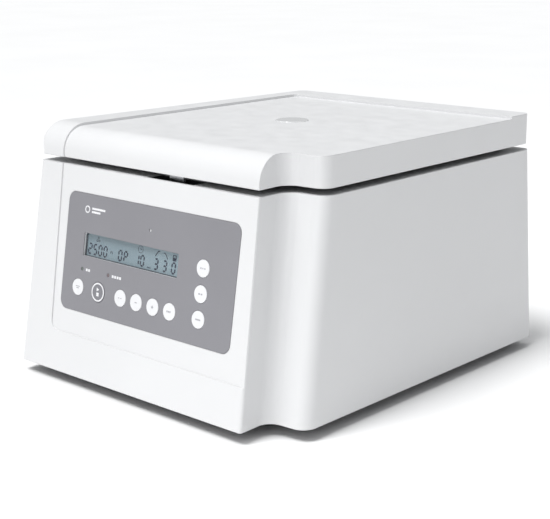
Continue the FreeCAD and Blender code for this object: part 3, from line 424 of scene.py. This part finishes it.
def icons():
    """Fan, clock, ramp, padlock and small unit marks over and between the figures."""
    line = 0.00055
    shapes = []
    x, up = at_glass(0.145, 0.8)
    for turn in range(3):
        a = math.radians(90 + 120 * turn)
        middle = Vector((x, up)) + Vector((math.cos(a), math.sin(a))) * 0.0016
        shapes += arc_strip(middle.x, middle.y, 0.0011, 0.0005, steps=8)
    x, up = at_glass(0.61, 0.82)
    shapes += arc_strip(x, up, 0.0031, 0.0004, steps=24)
    shapes += [stroke((x, up), (x, up + 0.002), line), stroke((x, up), (x + 0.0014, up), line)]
    x, up = at_glass(0.765, 0.68)
    shapes += [stroke((x, up), (x + 0.0036, up + 0.0045), line * 1.6)]
    shapes += [stroke((x + 0.0036, up + 0.0045), (x + 0.0052, up + 0.0045), line * 1.6)]
    x, up = at_glass(0.85, 0.9)
    shapes += [stroke((x, up), (x + 0.0016, up), line * 1.2)]
    shapes += [stroke((x + 0.0016, up), (x + 0.0052, up - 0.0045), line * 1.2)]
    x, up = at_glass(0.945, 0.64)
    shapes += [bar(x, up, 0.0042, 0.0028), bar(x, up + 0.0028, 0.0007, 0.0022)]
    shapes += [bar(x + 0.0035, up + 0.0028, 0.0007, 0.0022), bar(x + 0.0007, up + 0.0043, 0.0028, 0.0007)]
    x, up = at_glass(0.29, 0.3)
    shapes += [bar(x, up, 0.0006, 0.0018), bar(x, up + 0.0016, 0.0022, 0.0006)]
    shapes += [bar(x + 0.002, up, 0.0006, 0.0018)]
    x, up = at_glass(0.69, 0.07)
    for step in range(3):
        shapes += [bar(x + step * 0.0016, up, 0.001, 0.0011)]
    return shapes


def figures():
    for name, shapes in (("lcd_figures", read_out()), ("lcd_icons", icons())):
        stamp(name, shapes, GLASS_FACE + INK_LIFT, INK_THICK, SEGMENT_INK, "housing")


# ---------------------------------------------------------------- print on the panel and the keys

FILM_FACE = reach("control_membrane", OUT)[1]
FILM_UP = reach("control_membrane", UP)
FILM_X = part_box("control_membrane")[0].x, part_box("control_membrane")[1].x
PRINT = 0.00006


def key_spot(node):
    low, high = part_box(node)
    up = sum(reach(node, UP)) / 2
    return (low.x + high.x) / 2, up, reach(node, OUT)[1], (high.x - low.x) / 2


def panel_print():
    """A plain generic mark, and short dashes where the lamps are named."""
    x = FILM_X[0] + 22 * MM
    up = FILM_UP[0] + 84.5 * MM
    mark = arc_strip(x + 3.2 * MM, up + 3.4 * MM, 3.2 * MM, 1.1 * MM, steps=28)
    mark += [bar(x + 9 * MM, up + 3.9 * MM, 17 * MM, 1.7 * MM)]
    mark += [bar(x + 9 * MM, up + 1 * MM, 11 * MM, 1.7 * MM)]
    stamp("panel_mark", mark, FILM_FACE, PRINT, PRINT_WHITE, "housing")
    dashes = []
    for lamp, count in (("lamp_run", 2), ("lamp_stop", 4)):
        low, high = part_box(lamp)
        lamp_up = sum(reach(lamp, UP)) / 2
        for i in range(count):
            dashes.append(bar(high.x + (3.4 + 3.1 * i) * MM, lamp_up - 1.2 * MM, 2.3 * MM, 2.2 * MM))
    stamp("lamp_dashes", dashes, FILM_FACE, PRINT, PRINT_WHITE, "housing")


KEY_MARKS = {
    "key_mode": [(-2.6, 0.4, 5.2, 0.7), (-1.7, -1.1, 3.4, 0.7)],
    "key_unit": [(-2.2, -0.3, 1.4, 0.8), (0.6, -0.3, 1.4, 0.8)],
    "key_down": [(-1.3, -0.45, 2.6, 0.9)],
    "key_up": [(-1.3, -0.45, 2.6, 0.9), (-0.45, -1.3, 0.9, 2.6)],
    "key_set": [(-2.8, -0.8, 1.3, 1.5), (-1.1, -0.8, 1.3, 1.5), (0.6, -0.8, 1.3, 1.5)],
    "key_short": [(-2.8, -0.6, 5.6, 1.2)],
    "key_open": [(-2.2, -0.6, 1.8, 1.2), (0.4, -0.6, 1.8, 1.2)],
    "key_pulse": [(-2.8, -0.6, 1.2, 1.2), (-0.6, -0.6, 1.2, 1.2), (1.6, -0.6, 1.2, 1.2)],
}


def key_print():
    for key, marks in KEY_MARKS.items():
        x, up, face, _ = key_spot(key)
        shapes = [bar(x + a * MM, up + b * MM, w * MM, h * MM) for a, b, w, h in marks]
        stamp(key + "_mark", shapes, face, PRINT, PRINT_GREY, key)
    x, up, face, half = key_spot("key_start_stop")
    radius = half - 1.6 * MM
    ring = arc_strip(x, up, radius, 1.2 * MM, steps=48)
    stamp("start_stop_ring", ring, face, PRINT, PRINT_WHITE, "key_start_stop")
    marks = [[(x - 1.6 * MM, up + 0.6 * MM), (x + 1.6 * MM, up + 2.2 * MM), (x - 1.6 * MM, up + 3.8 * MM)]]
    marks += [bar(x - 1.5 * MM, up - 3.4 * MM, 3 * MM, 3 * MM)]
    stamp("start_stop_marks", marks, face, PRINT, PRINT_WHITE, "key_start_stop")


# ---------------------------------------------------------------- studio


SENSOR = 36.0
LENS = 86.31
CAMERA_PLACE = (0.7781, -0.8472, 0.3774)
CAMERA_BACK = (0.66308, -0.70886, 0.24049)
CAMERA_ROLL = -0.30


def look(camera, back, roll):
    turn = (-back).to_track_quat("-Z", "Y").to_matrix().to_4x4()
    tilt = Matrix.Rotation(math.radians(roll), 4, "Z")
    camera.matrix_world = Matrix.Translation(camera.location) @ turn @ tilt


def make_camera():
    data = bpy.data.cameras.new("camera")
    data.sensor_width = SENSOR
    data.lens = LENS
    data.clip_start, data.clip_end = 0.01, 100
    camera = bpy.data.objects.new("camera", data)
    bpy.context.scene.collection.objects.link(camera)
    camera.location = CAMERA_PLACE
    look(camera, Vector(CAMERA_BACK), CAMERA_ROLL)
    bpy.context.scene.camera = camera


def area(name, place, target, size, energy):
    data = bpy.data.lights.new(name, "AREA")
    data.shape = "RECTANGLE"
    data.size, data.size_y = size
    data.energy = energy
    lamp = bpy.data.objects.new(name, data)
    bpy.context.scene.collection.objects.link(lamp)
    lamp.location = place
    lamp.rotation_mode = "QUATERNION"
    lamp.rotation_quaternion = (Vector(target) - Vector(place)).to_track_quat("-Z", "Y")


def sun(back, strength, angle):
    data = bpy.data.lights.new("key", "SUN")
    data.energy = strength
    data.angle = math.radians(angle)
    lamp = bpy.data.objects.new("key", data)
    bpy.context.scene.collection.objects.link(lamp)
    lamp.rotation_mode = "QUATERNION"
    lamp.rotation_quaternion = (-Vector(back)).to_track_quat("-Z", "Y")


def make_world():
    """Soft pale surroundings for the light, and plain white behind the object."""
    world = bpy.data.worlds.new("studio")
    bpy.context.scene.world = world
    world.use_nodes = True
    tree = world.node_tree
    soft = tree.nodes["Background"]
    soft.inputs["Color"].default_value = (0.96, 0.98, 1.0, 1)
    soft.inputs["Strength"].default_value = 0.35
    white = tree.nodes.new("ShaderNodeBackground")
    white.inputs["Strength"].default_value = 1.0
    white.inputs["Color"].default_value = (1, 1, 1, 1)
    path = tree.nodes.new("ShaderNodeLightPath")
    mix = tree.nodes.new("ShaderNodeMixShader")
    tree.links.new(path.outputs["Is Camera Ray"], mix.inputs[0])
    tree.links.new(soft.outputs[0], mix.inputs[1])
    tree.links.new(white.outputs[0], mix.inputs[2])
    tree.links.new(mix.outputs[0], tree.nodes["World Output"].inputs["Surface"])


def make_floor():
    bpy.ops.mesh.primitive_grid_add(x_subdivisions=8, y_subdivisions=8, size=24, location=(0, 0, -0.0002))
    floor = bpy.context.object
    floor.name = "floor"
    s = Shader("floor_paper", 0.7)
    s.colour(s.ramp(s.noise(3, 3), (0.94, 0.94, 0.94, 1), (0.96, 0.96, 0.96, 1)))
    s.bump(s.noise(300, 3), 0.05, 0.0001)
    s.main.inputs["Specular IOR Level"].default_value = 0.2
    floor.data.materials.append(s.material)


def studio():
    middle = (CAD_BOX[0] + CAD_BOX[1]) / 2
    front = (CAD_BOX[1].x * 0.6, CAD_BOX[0].y, middle.z)
    make_world()
    make_floor()
    sun((-0.12, -0.40, 0.91), 2.6, 28)
    area("front_right", (0.34, -0.78, 0.34), front, (0.4, 0.4), 0.75)
    area("top", (0.1, 0.2, 1.3), middle, (0.9, 0.9), 2.8)
    make_camera()
    bpy.context.scene.view_settings.view_transform = "Standard"


figures()
panel_print()
key_print()
studio()
